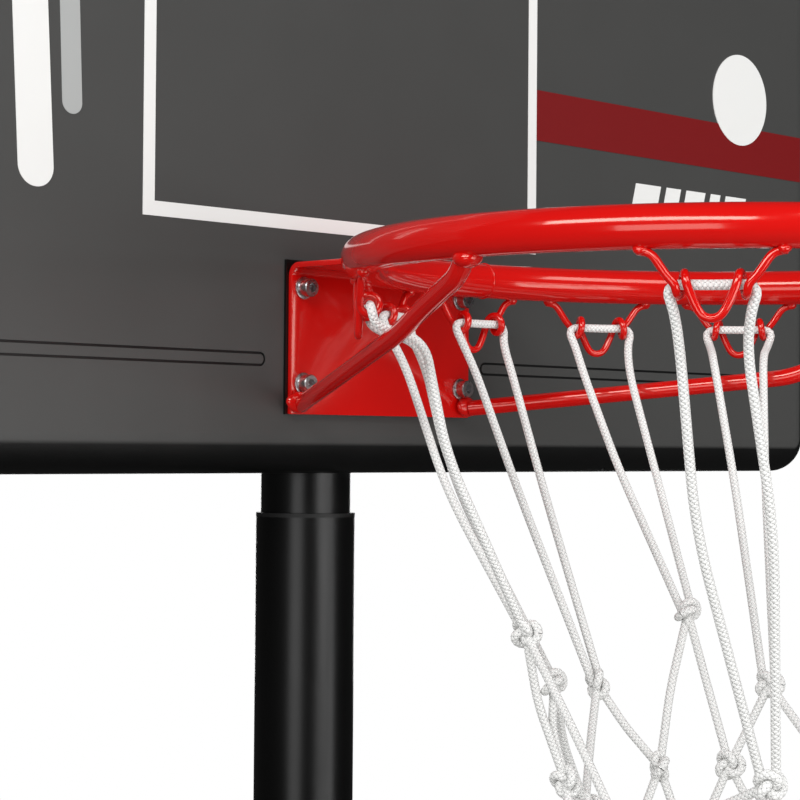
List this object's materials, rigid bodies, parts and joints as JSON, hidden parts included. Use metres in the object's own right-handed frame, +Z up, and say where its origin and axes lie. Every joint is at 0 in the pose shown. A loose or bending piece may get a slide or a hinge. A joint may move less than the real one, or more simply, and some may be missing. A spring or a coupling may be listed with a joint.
{
  "type": "portable basketball hoop",
  "caption": "Free-standing basketball hoop: telescopic pole on a wheeled tank base, dark board, red ring on braced bracket, white knotted net.",
  "frame": {"origin": "on the floor under the pole axis, at the underside of the base tank", "axes": "+Z up the pole, -Y towards the court that the board faces, +X to the right of a player who faces the board"},
  "size_m": [1.14, 1.513, 2.9106],
  "materials": {
    "black_tank_plastic": "matte grained blow-moulded polyethylene",
    "black_plastic": "matte moulded plastic",
    "black_rubber": "dull rubber",
    "black_pole_paint": "satin black powder coat",
    "zinc_plate": "bright zinc plate",
    "board_plastic": "fine matte blow-moulded polyethylene, charcoal",
    "red_powder_coat": "gloss red powder coat",
    "white_cord": "braided polyester cord"
  },
  "bodies": {
    "stand": {"base_tank": "black_tank_plastic", "wheel_axle": "zinc_plate", "axle_cap_left": "zinc_plate", "axle_cap_right": "zinc_plate", "lower_pole": "black_pole_paint", "middle_pole": "black_pole_paint", "pole_bush": "black_plastic", "pole_joint_bolt": "zinc_plate", "pole_joint_nut": "zinc_plate", "lock_boss": "black_pole_paint", "brace_left": "black_pole_paint", "brace_right": "black_pole_paint", "brace_bolt": "zinc_plate", "brace_nut": "zinc_plate", "brace_screws": "zinc_plate"},
    "left_wheel": {"wheel_left": "black_plastic", "tyre_left": "black_rubber"},
    "right_wheel": {"wheel_right": "black_plastic", "tyre_right": "black_rubber"},
    "lock": {"lock_screw": "zinc_plate", "lock_knob": "black_plastic"},
    "tank_cap": {"fill_cap": "black_plastic", "fill_cap_seal": "black_rubber"},
    "hoop": {"guide_ring": "black_plastic", "pole_cap": "black_plastic", "upper_pole": "black_pole_paint", "lower_mount": "black_pole_paint", "upper_mount": "black_pole_paint", "lower_strap": "black_pole_paint", "upper_strap": "black_pole_paint", "backing_plate": "black_pole_paint", "strap_nuts": "zinc_plate", "board_bolts": "zinc_plate", "board_nuts": "zinc_plate", "rim_screws": "zinc_plate", "rim_washers": "zinc_plate", "rim_nuts": "zinc_plate", "board": "board_plastic", "rim_bracket": "red_powder_coat", "ring": "red_powder_coat", "strut_left": "red_powder_coat", "strut_right": "red_powder_coat", "net_hook_1": "red_powder_coat", "net_hook_2": "red_powder_coat", "net_hook_3": "red_powder_coat", "net_hook_4": "red_powder_coat", "net_hook_5": "red_powder_coat", "net_hook_6": "red_powder_coat", "net_hook_7": "red_powder_coat", "net_hook_8": "red_powder_coat", "net_hook_9": "red_powder_coat", "net_hook_10": "red_powder_coat", "net": "white_cord"}
  },
  "joints": [
    {"name": "height_slide", "type": "slide", "parent": "stand", "child": "hoop", "axis": [0, 0, 1], "range_m": [0, 0.75]},
    {"name": "left_wheel_spin", "type": "hinge", "parent": "stand", "child": "left_wheel", "pos_m": [-0.3056, -0.15, 0.084], "axis": [1, 0, 0], "continuous": true},
    {"name": "right_wheel_spin", "type": "hinge", "parent": "stand", "child": "right_wheel", "pos_m": [0.3056, -0.15, 0.084], "axis": [1, 0, 0], "continuous": true},
    {"name": "lock_turn", "type": "hinge", "parent": "stand", "child": "lock", "pos_m": [0, 0.06, 1.85], "axis": [0, 1, 0], "range_deg": [0, 540]},
    {"name": "cap_lift", "type": "slide", "parent": "stand", "child": "tank_cap", "axis": [0, 0, 1], "range_m": [0, 0.06]}
  ]
}
